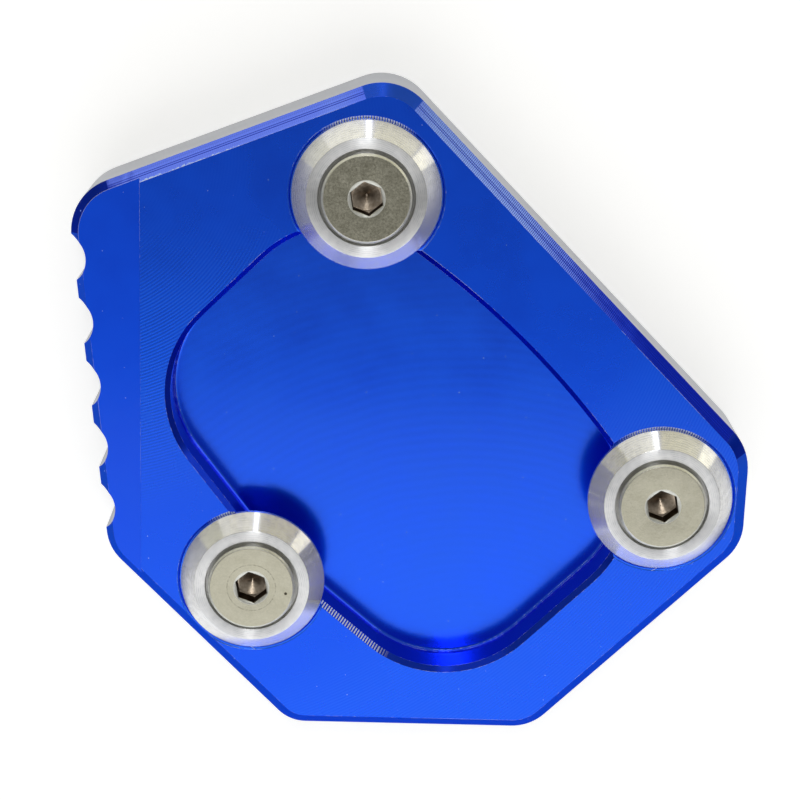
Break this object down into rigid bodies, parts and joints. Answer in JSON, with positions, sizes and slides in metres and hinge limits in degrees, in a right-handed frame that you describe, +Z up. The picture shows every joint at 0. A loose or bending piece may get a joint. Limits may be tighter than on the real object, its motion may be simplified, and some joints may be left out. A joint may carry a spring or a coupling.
{
  "type": "kickstand foot enlarger",
  "caption": "Milled plate with a pocket that clamps onto the foot of a motorcycle side stand, held by bevelled washers and countersunk screws.",
  "frame": {"origin": "on the underside, midway between the plate's outer edges", "axes": "+Z up out of the pocket, away from the ground; +X towards the right edge, opposite the scalloped edge; +Y towards the top corner"},
  "size_m": [0.093, 0.0912, 0.0161],
  "materials": {
    "anodised_plate": "milled, satin blue anodised on top, bare cut side walls",
    "turned_washer": "turned, bright",
    "steel_screw": "warm nickel grey, slightly mottled"
  },
  "bodies": {
    "root": {"plate": "anodised_plate", "clamp_washer_top": "turned_washer", "clamp_washer_right": "turned_washer", "clamp_washer_left": "turned_washer", "clamp_screw_top": "steel_screw", "clamp_screw_right": "steel_screw", "clamp_screw_left": "steel_screw"}
  },
  "joints": []
}
